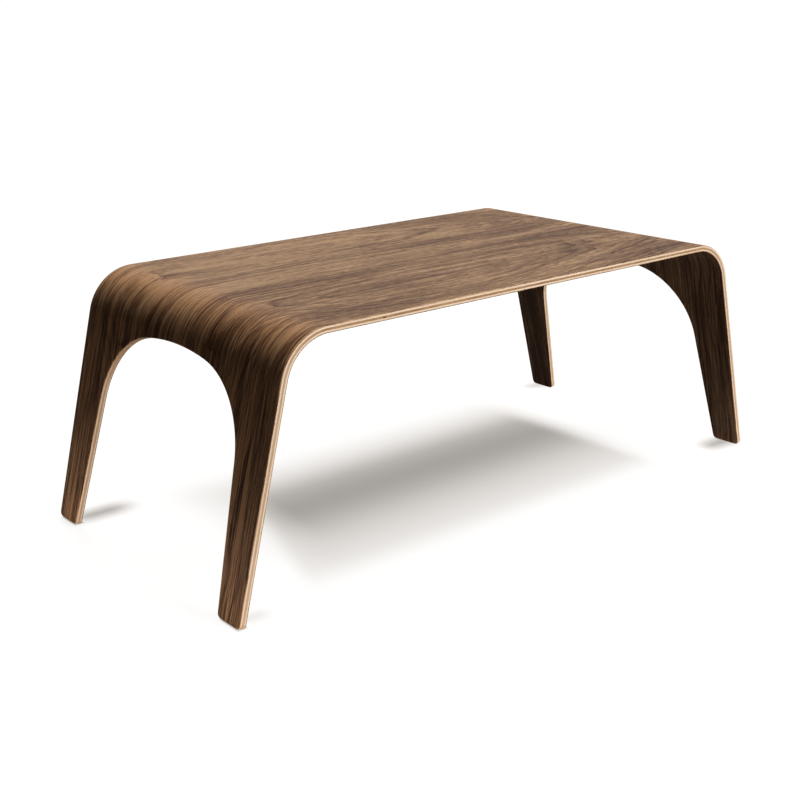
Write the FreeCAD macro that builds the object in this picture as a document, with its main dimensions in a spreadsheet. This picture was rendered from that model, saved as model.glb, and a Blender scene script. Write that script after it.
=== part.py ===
"""Tray table: one sheet of moulded plywood, bent down at both ends into splayed legs, an arch in each end.

Frame: +Z up, +X along the length, origin on the floor under the middle of the top.
"""
import FreeCAD, Part
import math
import os
from enum import IntEnum

import Sketcher

OUT_DIR = "parts"

# Driving dimensions in millimetres, angles in degrees
SIZES = [
    ("table_length", 620.0),
    ("table_width", 295.0),
    ("table_height", 220.0),
    ("inside_bend_radius", 39.5),
    ("leg_splay", 14.5),
    ("face_veneer", 0.6),
    ("core_ply", 1.6),
    ("leg_foot_width", 30.5),
    ("arch_head_drop", 2.0),
    ("arch_head_radius", 260.0),
    ("arch_shoulder_radius", 74.0),
    ("arch_side_lean", 5.4),
    ("foot_corner_radius", 4.0),
    ("veneer_foot_lift", 0.4),
]

# The sheet's section as expressions of the driving dimensions, from the top face down
SPLAY = "Sizes.leg_splay"
VENEER = "Sizes.face_veneer"
CORE = "Sizes.core_ply"
TOP_FACE = "0"
UPPER_PLY_FACE = VENEER
CROSS_PLY_FACE = f"({VENEER} + {CORE})"
LOWER_PLY_FACE = f"({VENEER} + 2 * {CORE})"
BACK_LEAF_FACE = f"({VENEER} + 3 * {CORE})"
SHEET = f"(2 * {VENEER} + 3 * {CORE})"

# Both bends are concentric arcs, and the legs end square where the lowest core ply meets the floor
OUTER_RADIUS = f"(Sizes.inside_bend_radius + {SHEET})"
BEND_CENTRE_Z = f"(Sizes.table_height - {OUTER_RADIUS})"
LEG_RUN = f"(({BEND_CENTRE_Z} + (Sizes.inside_bend_radius + {VENEER}) * sin({SPLAY})) / cos({SPLAY}))"
BEND_CENTRE_X = f"(Sizes.table_length / 2 - {OUTER_RADIUS} * cos({SPLAY}) - {LEG_RUN} * sin({SPLAY}))"
VENEER_LEG_RUN = f"({LEG_RUN} - Sizes.veneer_foot_lift)"
FOOT_TOP_FACE_Z = f"({BACK_LEAF_FACE} * sin({SPLAY}))"
ARCH_RISE = f"({LEG_RUN} - Sizes.arch_head_drop)"
ARCH_FOOT_HALF = "(Sizes.table_width / 2 - Sizes.leg_foot_width)"
ARCH_CUT_DEPTH = f"(4 * {SHEET})"

# Strips of the width that a ply can cover, as the pad's length and whether it runs towards the rear
WHOLE_WIDTH = ("Sizes.table_width", None)
FRONT_HALF = ("Sizes.table_width / 2", False)
REAR_HALF = ("Sizes.table_width / 2", True)

# Node name, upper face, lower face, straight run of the leg, strip of the width
PLIES = [
    ("walnut_face_leaf_front", TOP_FACE, UPPER_PLY_FACE, VENEER_LEG_RUN, FRONT_HALF),
    ("walnut_face_leaf_rear", TOP_FACE, UPPER_PLY_FACE, VENEER_LEG_RUN, REAR_HALF),
    ("birch_long_grain_ply_upper", UPPER_PLY_FACE, CROSS_PLY_FACE, LEG_RUN, WHOLE_WIDTH),
    ("birch_cross_grain_ply", CROSS_PLY_FACE, LOWER_PLY_FACE, LEG_RUN, WHOLE_WIDTH),
    ("birch_long_grain_ply_lower", LOWER_PLY_FACE, BACK_LEAF_FACE, LEG_RUN, WHOLE_WIDTH),
    ("walnut_back_leaf_front", BACK_LEAF_FACE, SHEET, VENEER_LEG_RUN, FRONT_HALF),
    ("walnut_back_leaf_rear", BACK_LEAF_FACE, SHEET, VENEER_LEG_RUN, REAR_HALF),
]

# The sketcher's own origin and axes
ORIGIN_POINT = (-1, 1)
X_AXIS, Y_AXIS = -1, -2
PARALLEL_TOLERANCE = 1e-6


class At(IntEnum):
    """Point positions that the sketcher uses on lines and arcs."""

    START = 1
    END = 2
    CENTRE = 3


def make_sheet(doc):
    """Spreadsheet that holds the driving dimensions, one named cell each."""
    sheet = doc.addObject("Spreadsheet::Sheet", "Sizes")
    for row, (name, size) in enumerate(SIZES, start=1):
        sheet.set(f"A{row}", name)
        sheet.set(f"B{row}", str(size))
        sheet.setAlias(f"B{row}", name)
    doc.recompute()
    return sheet


def origin_plane(body, role):
    """One of a body's own origin planes, by its role."""
    return next(plane for plane in body.Origin.OriginFeatures if plane.Role == role)


def bind(sketch, constraint, expression):
    """Adds a dimension to a sketch and ties it to the sheet.

    The dimension starts at the value that the geometry already has, so the solver keeps the drawn form.
    """
    index = sketch.addConstraint(constraint)
    sketch.setExpression(f"Constraints[{index}]", expression)


def tie(sketch, kind, *where):
    """Adds a geometric constraint with no dimension."""
    sketch.addConstraint(Sketcher.Constraint(kind, *where))


def right_side_points(value, face, leg_run):
    """Bend start, bend end and foot of a face of the sheet, on the right end, in the XZ plane."""
    centre = FreeCAD.Vector(value(BEND_CENTRE_X), value(BEND_CENTRE_Z), 0)
    radius = value(f"{OUTER_RADIUS} - {face}")
    outward = FreeCAD.Vector(value(f"cos({SPLAY})"), value(f"sin({SPLAY})"), 0)
    down_leg = FreeCAD.Vector(outward.y, -outward.x, 0)
    bend_start = centre + FreeCAD.Vector(0, radius, 0)
    bend_end = centre + outward * radius
    return centre, radius, bend_start, bend_end, bend_end + down_leg * value(leg_run)


def mirrored(point):
    """The same point on the left end."""
    return FreeCAD.Vector(-point.x, point.y, 0)


def bend_arc(centre, radius, first, last):
    """Arc about a bend's centre from the first point anticlockwise to the last."""
    circle = Part.Circle(centre, FreeCAD.Vector(0, 0, 1), radius)
    return Part.ArcOfCircle(circle, circle.parameter(first), circle.parameter(last))


def draw_face(sketch, value, face, leg_run):
    """Draws one face of a ply in section: top, both bends and both legs, tangent to each other."""
    centre, radius, bend_start, bend_end, foot = right_side_points(value, face, leg_run)
    top = sketch.addGeometry(Part.LineSegment(mirrored(bend_start), bend_start))
    right_bend = sketch.addGeometry(bend_arc(centre, radius, bend_end, bend_start))
    right_leg = sketch.addGeometry(Part.LineSegment(bend_end, foot))
    left_arc = bend_arc(mirrored(centre), radius, mirrored(bend_start), mirrored(bend_end))
    left_bend = sketch.addGeometry(left_arc)
    left_leg = sketch.addGeometry(Part.LineSegment(mirrored(bend_end), mirrored(foot)))
    tie(sketch, "Tangent", top, At.END, right_bend, At.END)
    tie(sketch, "Tangent", right_bend, At.START, right_leg, At.START)
    tie(sketch, "Tangent", top, At.START, left_bend, At.START)
    tie(sketch, "Tangent", left_bend, At.END, left_leg, At.START)
    tie(sketch, "Equal", left_bend, right_bend)
    bind(sketch, Sketcher.Constraint("Radius", right_bend, radius), f"{OUTER_RADIUS} - {face}")
    return right_bend, right_leg, left_bend, left_leg


def draw_section(sketch, value, upper_face, lower_face, leg_run):
    """Closed section of a ply between two faces of the sheet, with ends cut square to the legs."""
    right_bend, right_leg, left_bend, left_leg = draw_face(sketch, value, upper_face, leg_run)
    inner = draw_face(sketch, value, lower_face, leg_run)
    inner_right_bend, inner_right_leg, inner_left_bend, inner_left_leg = inner
    centre_x = Sketcher.Constraint("DistanceX", *ORIGIN_POINT, right_bend, At.CENTRE, value(BEND_CENTRE_X))
    bind(sketch, centre_x, BEND_CENTRE_X)
    centre_z = Sketcher.Constraint("DistanceY", *ORIGIN_POINT, right_bend, At.CENTRE, value(BEND_CENTRE_Z))
    bind(sketch, centre_z, BEND_CENTRE_Z)
    tie(sketch, "Symmetric", left_bend, At.CENTRE, right_bend, At.CENTRE, Y_AXIS)
    tie(sketch, "Coincident", inner_right_bend, At.CENTRE, right_bend, At.CENTRE)
    tie(sketch, "Coincident", inner_left_bend, At.CENTRE, left_bend, At.CENTRE)
    bend_angle = f"90 - {SPLAY}"
    bend_span = Sketcher.Constraint("Angle", right_bend, FreeCAD.Units.Quantity(value(bend_angle), "deg"))
    bind(sketch, bend_span, bend_angle)
    bind(sketch, Sketcher.Constraint("Distance", right_leg, value(leg_run)), leg_run)
    tie(sketch, "Symmetric", left_leg, At.END, right_leg, At.END, Y_AXIS)
    for leg, inner_leg in ((right_leg, inner_right_leg), (left_leg, inner_left_leg)):
        leg_end = sketch.getPoint(leg, At.END)
        inner_end = sketch.getPoint(inner_leg, At.END)
        foot = sketch.addGeometry(Part.LineSegment(leg_end, inner_end))
        tie(sketch, "Coincident", foot, At.START, leg, At.END)
        tie(sketch, "Coincident", foot, At.END, inner_leg, At.END)
        tie(sketch, "Parallel", inner_leg, leg)
        tie(sketch, "Perpendicular", foot, leg)


def draw_arch(sketch, value):
    """Arch in the plane of a leg: shallow round head, tighter shoulders, sides that spread towards the foot.

    The shoulder's arc touches the head's circle from inside and the leaning side, which gives its centre.
    """
    rise = value(ARCH_RISE)
    foot_half = value(ARCH_FOOT_HALF)
    head_radius = value("Sizes.arch_head_radius")
    radius = value("Sizes.arch_shoulder_radius")
    lean = math.radians(value("Sizes.arch_side_lean"))
    outward = FreeCAD.Vector(math.cos(lean), math.sin(lean), 0)
    foot = FreeCAD.Vector(foot_half, 0, 0)
    head_centre = FreeCAD.Vector(0, rise - head_radius, 0)
    side_reach = (foot - head_centre).dot(outward)
    turn = math.asin((side_reach - radius) / (head_radius - radius)) - lean
    towards_shoulder = FreeCAD.Vector(math.sin(turn), math.cos(turn), 0)
    head_end = head_centre + towards_shoulder * head_radius
    centre = head_end - towards_shoulder * radius
    side_top = centre + outward * radius
    head = sketch.addGeometry(bend_arc(head_centre, head_radius, head_end, mirrored(head_end)))
    right_shoulder = sketch.addGeometry(bend_arc(centre, radius, side_top, head_end))
    right_side = sketch.addGeometry(Part.LineSegment(foot, side_top))
    foot_line = sketch.addGeometry(Part.LineSegment(foot, mirrored(foot)))
    left_side = sketch.addGeometry(Part.LineSegment(mirrored(foot), mirrored(side_top)))
    left_arc = bend_arc(mirrored(centre), radius, mirrored(head_end), mirrored(side_top))
    left_shoulder = sketch.addGeometry(left_arc)
    tie(sketch, "Tangent", head, At.START, right_shoulder, At.END)
    tie(sketch, "Tangent", right_shoulder, At.START, right_side, At.END)
    tie(sketch, "Coincident", right_side, At.START, foot_line, At.START)
    tie(sketch, "Coincident", foot_line, At.END, left_side, At.START)
    tie(sketch, "Tangent", left_side, At.END, left_shoulder, At.END)
    tie(sketch, "Tangent", left_shoulder, At.START, head, At.END)
    tie(sketch, "Symmetric", foot_line, At.START, foot_line, At.END, Y_AXIS)
    tie(sketch, "PointOnObject", foot_line, At.START, X_AXIS)
    tie(sketch, "Symmetric", head, At.START, head, At.END, Y_AXIS)
    tie(sketch, "Equal", left_shoulder, right_shoulder)
    head_drop = Sketcher.Constraint("DistanceY", head, At.CENTRE, *ORIGIN_POINT, head_radius - rise)
    bind(sketch, head_drop, f"Sizes.arch_head_radius - {ARCH_RISE}")
    foot_reach = Sketcher.Constraint("DistanceX", *ORIGIN_POINT, right_side, At.START, foot_half)
    bind(sketch, foot_reach, ARCH_FOOT_HALF)
    bind(sketch, Sketcher.Constraint("Radius", head, head_radius), "Sizes.arch_head_radius")
    bind(sketch, Sketcher.Constraint("Radius", right_shoulder, radius), "Sizes.arch_shoulder_radius")
    side_angle = "90 + Sizes.arch_side_lean"
    side_turn = Sketcher.Constraint("Angle", right_side, FreeCAD.Units.Quantity(value(side_angle), "deg"))
    bind(sketch, side_turn, side_angle)


def foot_corner_edges(shape, value):
    """Names of the short edges through the ply at the corners of its feet.

    They run along the normal of a leg, and end lower than the foot's corner radius.
    """
    outward = FreeCAD.Vector(value(f"cos({SPLAY})"), 0, value(f"sin({SPLAY})"))
    names = []
    for number, edge in enumerate(shape.Edges, start=1):
        first, last = (vertex.Point for vertex in edge.Vertexes)
        along = (last - first).normalize()
        along.x = abs(along.x)
        along.z = abs(along.z)
        is_through = along.cross(outward).Length < PARALLEL_TOLERANCE
        if is_through and max(first.z, last.z) < value(f"{FOOT_TOP_FACE_Z} + Sizes.foot_corner_radius"):
            names.append(f"Edge{number}")
    return names


def make_ply(doc, value, name, upper_face, lower_face, leg_run, strip):
    """One ply or veneer leaf: bent band, an arch cut square through each end, rounded foot corners."""
    body = doc.addObject("PartDesign::Body", name)
    body.Label = name
    section = body.newObject("Sketcher::SketchObject", f"{name}_section")
    section.AttachmentSupport = (origin_plane(body, "XZ_Plane"), [""])
    section.MapMode = "FlatFace"
    draw_section(section, value, upper_face, lower_face, leg_run)
    band = body.newObject("PartDesign::Pad", f"{name}_band")
    band.Profile = section
    length, towards_rear = strip
    band.setExpression("Length", length)
    if towards_rear is None:
        band.Midplane = True
    else:
        band.Reversed = towards_rear
    arch = body.newObject("Sketcher::SketchObject", f"{name}_arch")
    arch.AttachmentSupport = (origin_plane(body, "YZ_Plane"), [""])
    arch.MapMode = "FlatFace"
    tilt = FreeCAD.Rotation(FreeCAD.Vector(-1, 0, 0), value(SPLAY))
    arch.AttachmentOffset = FreeCAD.Placement(FreeCAD.Vector(), tilt)
    arch.setExpression("AttachmentOffset.Rotation.Angle", SPLAY)
    arch.setExpression("AttachmentOffset.Base.y", FOOT_TOP_FACE_Z)
    arch.setExpression("AttachmentOffset.Base.z", "Sizes.table_length / 2")
    draw_arch(arch, value)
    right_cut = body.newObject("PartDesign::Pocket", f"{name}_right_arch")
    right_cut.Profile = arch
    right_cut.Midplane = True
    right_cut.setExpression("Length", ARCH_CUT_DEPTH)
    doc.recompute()
    left_cut = body.newObject("PartDesign::Mirrored", f"{name}_left_arch")
    left_cut.Originals = [right_cut]
    left_cut.MirrorPlane = (origin_plane(body, "YZ_Plane"), [""])
    body.Tip = left_cut
    doc.recompute()
    corners = body.newObject("PartDesign::Fillet", f"{name}_foot_corners")
    corners.Base = (left_cut, foot_corner_edges(left_cut.Shape, value))
    corners.setExpression("Radius", "Sizes.foot_corner_radius")
    body.Tip = corners
    doc.recompute()
    if not right_cut.Shape.Volume > left_cut.Shape.Volume > corners.Shape.Volume:
        raise RuntimeError(f"{name}: an arch or foot corner removed nothing")
    return body


def check(doc, bodies):
    """Stops if any feature failed or any sub-part isn't one valid solid."""
    for item in doc.Objects:
        if "Invalid" in item.State or "Error" in item.State:
            raise RuntimeError(f"{item.Label}: {item.State}")
    for body in bodies:
        shape = body.Shape
        if shape.isNull() or not shape.isValid() or len(shape.Solids) != 1:
            raise RuntimeError(f"{body.Label}: not one valid solid")


def main():
    """Builds every ply and writes each to its own file."""
    os.makedirs(OUT_DIR, exist_ok=True)
    doc = FreeCAD.newDocument("tray_table")
    sheet = make_sheet(doc)

    def value(expression):
        return float(sheet.evalExpression(expression))

    bodies = [make_ply(doc, value, *ply) for ply in PLIES]
    check(doc, bodies)
    for body in bodies:
        body.Shape.exportStep(os.path.join(OUT_DIR, f"{body.Label}.step"))
        box = body.Shape.BoundBox
        extent = f"{box.XLength:.2f} x {box.YLength:.2f} x {box.ZLength:.2f}"
        print(f"{body.Label}: {body.Shape.Volume:.1f} mm3, {extent}")


main()
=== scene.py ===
"""Looks of a tray table: one moulded sheet of plywood with walnut faces and bare birch edges.

Every ply is a surface over the flattened sheet, bent into place by a formula. Sizes are in metres.
"""
import functools
import logging
import math
from dataclasses import dataclass
from enum import Enum

import bmesh
import bpy
import numpy as np
from mathutils import Matrix, Vector


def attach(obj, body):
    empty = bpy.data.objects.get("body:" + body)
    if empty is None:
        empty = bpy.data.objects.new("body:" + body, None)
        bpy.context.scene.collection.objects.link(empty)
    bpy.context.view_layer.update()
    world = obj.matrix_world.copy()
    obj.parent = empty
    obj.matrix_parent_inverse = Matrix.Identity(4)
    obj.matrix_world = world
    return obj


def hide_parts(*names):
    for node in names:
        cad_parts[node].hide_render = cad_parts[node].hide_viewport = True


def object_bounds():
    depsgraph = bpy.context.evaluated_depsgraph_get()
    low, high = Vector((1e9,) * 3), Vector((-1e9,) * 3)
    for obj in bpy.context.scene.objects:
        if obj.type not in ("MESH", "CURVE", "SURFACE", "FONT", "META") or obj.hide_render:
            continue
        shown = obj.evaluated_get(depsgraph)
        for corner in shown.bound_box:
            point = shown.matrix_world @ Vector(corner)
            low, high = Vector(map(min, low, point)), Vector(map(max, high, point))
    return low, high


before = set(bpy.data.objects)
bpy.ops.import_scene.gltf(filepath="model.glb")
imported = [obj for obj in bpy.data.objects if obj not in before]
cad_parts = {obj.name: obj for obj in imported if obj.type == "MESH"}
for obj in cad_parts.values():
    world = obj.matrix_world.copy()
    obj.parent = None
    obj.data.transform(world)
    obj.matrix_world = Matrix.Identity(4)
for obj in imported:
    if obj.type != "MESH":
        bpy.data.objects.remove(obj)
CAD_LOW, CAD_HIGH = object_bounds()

log = logging.getLogger("tray_table")

BODY = "root"
IMAGE_SIDE = 800.0
SENSOR_WIDTH = 36.0
PER_METRE = 1000.0
MILLIMETRES = (PER_METRE, PER_METRE, PER_METRE)
WHITE = (1.0, 1.0, 1.0, 1.0)


@dataclass(frozen=True)
class SheetSizes:
    """Sizes of the moulded sheet, in metres and radians.

    Width and height come from the CAD box, the rest repeats the sizes that the solids are built to.
    """

    width: float
    height: float
    length: float = 0.620
    inside_bend_radius: float = 0.0395
    leg_splay: float = math.radians(14.5)
    face_veneer: float = 0.0006
    core_ply: float = 0.0016
    leg_foot_width: float = 0.0305
    arch_head_drop: float = 0.002
    arch_head_radius: float = 0.260
    arch_shoulder_radius: float = 0.074
    arch_side_lean: float = math.radians(5.4)
    foot_corner_radius: float = 0.004
    veneer_foot_lift: float = 0.0004
    upper_arris: float = 0.0011
    lower_arris: float = 0.0003

    @property
    def thickness(self) -> float:
        """Thickness of the whole sheet: two face veneers and three core plies."""
        return 2 * self.face_veneer + 3 * self.core_ply

    @property
    def outer_radius(self) -> float:
        """Radius of the bend at the top face."""
        return self.inside_bend_radius + self.thickness

    @property
    def bend_centre_height(self) -> float:
        """Height of the axis that a bend turns about."""
        return self.height - self.outer_radius

    @property
    def leg_run(self) -> float:
        """Straight length of a leg below its bend, square ended, with the lowest core ply on the floor."""
        core_back_radius = self.inside_bend_radius + self.face_veneer
        drop = self.bend_centre_height + core_back_radius * math.sin(self.leg_splay)
        return drop / math.cos(self.leg_splay)

    @property
    def flat_half(self) -> float:
        """Half length of the flat top between the bends."""
        reach = self.outer_radius * math.cos(self.leg_splay) + self.leg_run * math.sin(self.leg_splay)
        return self.length / 2 - reach

    @property
    def bend_angle(self) -> float:
        """Angle that the sheet turns through in one bend."""
        return math.pi / 2 - self.leg_splay

    @property
    def bend_run(self) -> float:
        """Length of a bend along the top face."""
        return self.outer_radius * self.bend_angle

    @property
    def foot_run(self) -> float:
        """Distance along the top face from the middle of the table to a foot's end."""
        return self.flat_half + self.bend_run + self.leg_run

    def place(self, flat: np.ndarray) -> np.ndarray:
        """Bends flat-sheet coordinates into the table's shape.

        Up to the bend the sheet is flat. In the bend a point turns about the bend's axis at the outer
        radius less its depth. Past the bend it goes straight down the leg.

        Args:
            flat: array of (run along the top face from the middle, across towards the rear, depth below
                the top face).

        Returns:
            Array of (x, y, z).
        """
        run, across, depth = flat.T
        past_flat = np.maximum(np.abs(run) - self.flat_half, 0.0)
        turn = np.minimum(past_flat / self.outer_radius, self.bend_angle)
        down_leg = np.maximum(past_flat - self.bend_run, 0.0)
        radius = self.outer_radius - depth
        level = np.minimum(np.abs(run), self.flat_half)
        x = level + radius * np.sin(turn) + down_leg * math.sin(self.leg_splay)
        z = self.bend_centre_height + radius * np.cos(turn) - down_leg * math.cos(self.leg_splay)
        return np.stack([np.sign(run) * x, across, z], axis=-1)


class Grain(Enum):
    """Direction of a ply's grain, as its (across, run) share in the flat sheet."""

    ALONG = (0.0, 1.0)
    ACROSS = (1.0, 0.0)


class Strip(Enum):
    """Part of the width that a ply covers, as the sides of the centre line that it lies on."""

    FRONT = (-1.0,)
    REAR = (1.0,)
    WHOLE = (-1.0, 1.0)


class HalfSheet:
    """Grid over the flat sheet on one side of its centre line, with arches and foot corners cut.

    A row runs from the inner outline (centre line, then arch) to the outer long edge. Rows start at
    the left foot and end at the right foot.
    """

    FLAT_ROWS = 24
    BEND_ROWS = 64
    HEAD_ROWS = 20
    SHOULDER_ROWS = 96
    SIDE_ROWS = 32
    FOOT_ROWS = 10
    FAN_LEAD = 0.012

    def __init__(self, sizes: SheetSizes, columns: int, foot_lift: float) -> None:
        """Works out the outlines.

        Args:
            sizes: sizes of the sheet.
            columns: number of quads across the half sheet.
            foot_lift: how far the ply stops short of the square foot end.
        """
        self.sizes = sizes
        self.foot_lift = foot_lift
        self.share = np.linspace(0.0, 1.0, columns + 1)
        self._draw_sides()
        self._draw_foot()

    def _draw_sides(self) -> None:
        """Points and inward normals of the inner and outer outlines, row by row, down to the foot rows.

        The inner outline is the centre line, the arch head's shallow arc, the shoulder's tighter arc
        and the leaning side. The shoulder's centre lies on the line from the head's centre to the end
        of its arc, one shoulder radius from the side. Points and normals are (across, run). The two
        leaves are cut flush on the centre line, so its normal is zero.
        """
        s = self.sizes
        lean = s.arch_side_lean
        rise = s.leg_run - s.arch_head_drop
        foot_half = s.width / 2 - s.leg_foot_width
        head_up = rise - s.arch_head_radius
        reach = s.arch_head_radius - s.arch_shoulder_radius
        side_reach = foot_half * math.cos(lean) - head_up * math.sin(lean)
        head_turn = math.asin((side_reach - s.arch_shoulder_radius) / reach) - lean
        shoulder_across = reach * math.sin(head_turn)
        shoulder_up = head_up + reach * math.cos(head_turn)
        side_top = shoulder_up + s.arch_shoulder_radius * math.sin(lean)
        head_run = s.foot_run - rise
        fan_start = head_run - self.FAN_LEAD

        flat = np.linspace(0.0, s.flat_half, self.FLAT_ROWS, endpoint=False)
        bend = np.linspace(s.flat_half, head_run, self.BEND_ROWS, endpoint=False)
        bend_outer = np.linspace(s.flat_half, fan_start, self.BEND_ROWS, endpoint=False)
        head = np.linspace(0.0, head_turn, self.HEAD_ROWS, endpoint=False)
        shoulder = np.linspace(head_turn, math.pi / 2 - lean, self.SHOULDER_ROWS, endpoint=False)
        side = np.linspace(side_top, 2 * s.foot_corner_radius, self.SIDE_ROWS + 1)
        centre_line = np.zeros(self.FLAT_ROWS + self.BEND_ROWS)

        head_points = s.arch_head_radius * np.stack([np.sin(head), np.cos(head)])
        shoulder_points = s.arch_shoulder_radius * np.stack([np.sin(shoulder), np.cos(shoulder)])
        side_across = foot_half - side * math.tan(lean)
        across = np.r_[centre_line, head_points[0], shoulder_across + shoulder_points[0], side_across]
        up = np.r_[head_up + head_points[1], shoulder_up + shoulder_points[1], side]
        self.inner = np.stack([across, np.r_[flat, bend, s.foot_run - up]], axis=-1)
        turn = np.r_[head, shoulder, np.full_like(side, math.pi / 2 - lean)]
        normal_across = np.r_[centre_line, np.sin(turn)]
        normal_run = np.r_[centre_line, -np.cos(turn)]
        self.inner_normal = np.stack([normal_across, normal_run], axis=-1)

        head_length = s.arch_head_radius * head_turn
        shoulder_length = s.arch_shoulder_radius * (math.pi / 2 - lean - head_turn)
        head_fan = s.arch_head_radius * head
        shoulder_fan = head_length + s.arch_shoulder_radius * (shoulder - head_turn)
        fan_share = np.r_[head_fan, shoulder_fan] / (head_length + shoulder_length)
        fan_outer = fan_start + fan_share * (s.foot_run - side_top - fan_start)
        outer_run = np.r_[flat, bend_outer, fan_outer, s.foot_run - side]
        self.outer = np.stack([np.full_like(outer_run, s.width / 2), outer_run], axis=-1)
        self.outer_normal = np.array([-1.0, 0.0])

    def _draw_foot(self) -> None:
        """End of a foot from the arch side to the outer side: corner arc, square end, corner arc."""
        s = self.sizes
        radius = s.foot_corner_radius
        lean = s.arch_side_lean
        first_centre = s.width / 2 - s.leg_foot_width + radius * (1 - math.sin(lean)) / math.cos(lean)
        last_centre = s.width / 2 - radius
        arc_end = radius * (math.pi / 2 - lean)
        level_end = arc_end + last_centre - first_centre
        at = self.share * (level_end + radius * math.pi / 2)
        turned_first = np.minimum(at - arc_end, 0.0) / radius
        turned_last = np.maximum(at - level_end, 0.0) / radius
        turn = 1.5 * math.pi + turned_first + turned_last
        centre = first_centre + np.clip(at - arc_end, 0.0, last_centre - first_centre)
        up = radius + radius * np.sin(turn)
        self.foot = np.stack([centre + radius * np.cos(turn), s.foot_run - self.foot_lift - up], axis=-1)
        self.foot_normal = np.stack([-np.cos(turn), np.sin(turn)], axis=-1)

    def grid(self, inset: float) -> np.ndarray:
        """Flat coordinates of the half sheet with its outline drawn in by an inset.

        Each row is a straight blend from the inner to the outer outline. The last rows blend from a
        straight row to the foot's rounded end. The left end is the right end turned over.

        Args:
            inset: distance that the outline is drawn into the sheet.

        Returns:
            Array of rows by columns by (across, run).
        """
        share = self.share[:, None]
        inner = (self.inner + inset * self.inner_normal)[:, None]
        outer = (self.outer + inset * self.outer_normal)[:, None]
        leg = inner * (1 - share) + outer * share
        foot = self.foot + inset * self.foot_normal
        blend = np.linspace(0.0, 1.0, self.FOOT_ROWS + 1)[1:, None, None]
        return self._both_ends(np.concatenate([leg, leg[-1] * (1 - blend) + foot * blend]))

    def normals(self) -> np.ndarray:
        """Inward normals on the grid's outline, zero inside it and on the centre line.

        Returns:
            Array of rows by columns by (across, run).
        """
        rows = len(self.inner) + self.FOOT_ROWS
        right = np.zeros((rows, len(self.share), 2))
        right[: len(self.inner), 0] = self.inner_normal
        right[len(self.inner) :, 0] = self.inner_normal[-1]
        right[:, -1] = self.outer_normal
        right[-1] = self.foot_normal
        return self._both_ends(right)

    @staticmethod
    def _both_ends(right: np.ndarray) -> np.ndarray:
        """Adds the left end to a grid of the right end, sharing the middle row."""
        left = right[:0:-1] * np.array([1.0, -1.0])
        return np.concatenate([left, right])

    @staticmethod
    def outline(shape: tuple[int, int]) -> np.ndarray:
        """Flat indices of a grid's outline, once round."""
        index = np.arange(shape[0] * shape[1]).reshape(shape)
        return np.r_[index[0, :-1], index[:-1, -1], index[-1, :0:-1], index[:0:-1, 0]]


@dataclass(frozen=True)
class Ply:
    """One ply or leaf of veneer: which node it stands for, where it lies in the sheet, and its finish."""

    name: str
    node: str
    slot: str
    top: float
    bottom: float
    strip: Strip
    grain: Grain
    columns: int
    sheet: SheetSizes
    foot_lift: float = 0.0

    ARRIS_STOPS = 7
    DEPTH_DIGITS = 7

    def section(self) -> np.ndarray:
        """Edge of the ply in section.

        The sheet's two arrises are quarter circles, which run over every ply within their radius of a
        face.

        Returns:
            Array of (depth, inset) from the upper to the lower face.
        """
        arc = 1.0 - np.cos(np.linspace(0.0, math.pi / 2, self.ARRIS_STOPS))
        upper, lower, whole = self.sheet.upper_arris, self.sheet.lower_arris, self.sheet.thickness
        stops = np.concatenate([[self.top, self.bottom], upper * arc, whole - lower * arc])
        depth = np.unique(np.clip(stops, self.top, self.bottom).round(self.DEPTH_DIGITS))
        inset = np.zeros(len(depth))
        for radius, below_face in ((upper, depth), (lower, whole - depth)):
            short = np.clip(radius - below_face, 0.0, radius)
            inset += radius - np.sqrt(radius**2 - short**2)
        return np.stack([depth, inset], axis=-1)


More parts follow.
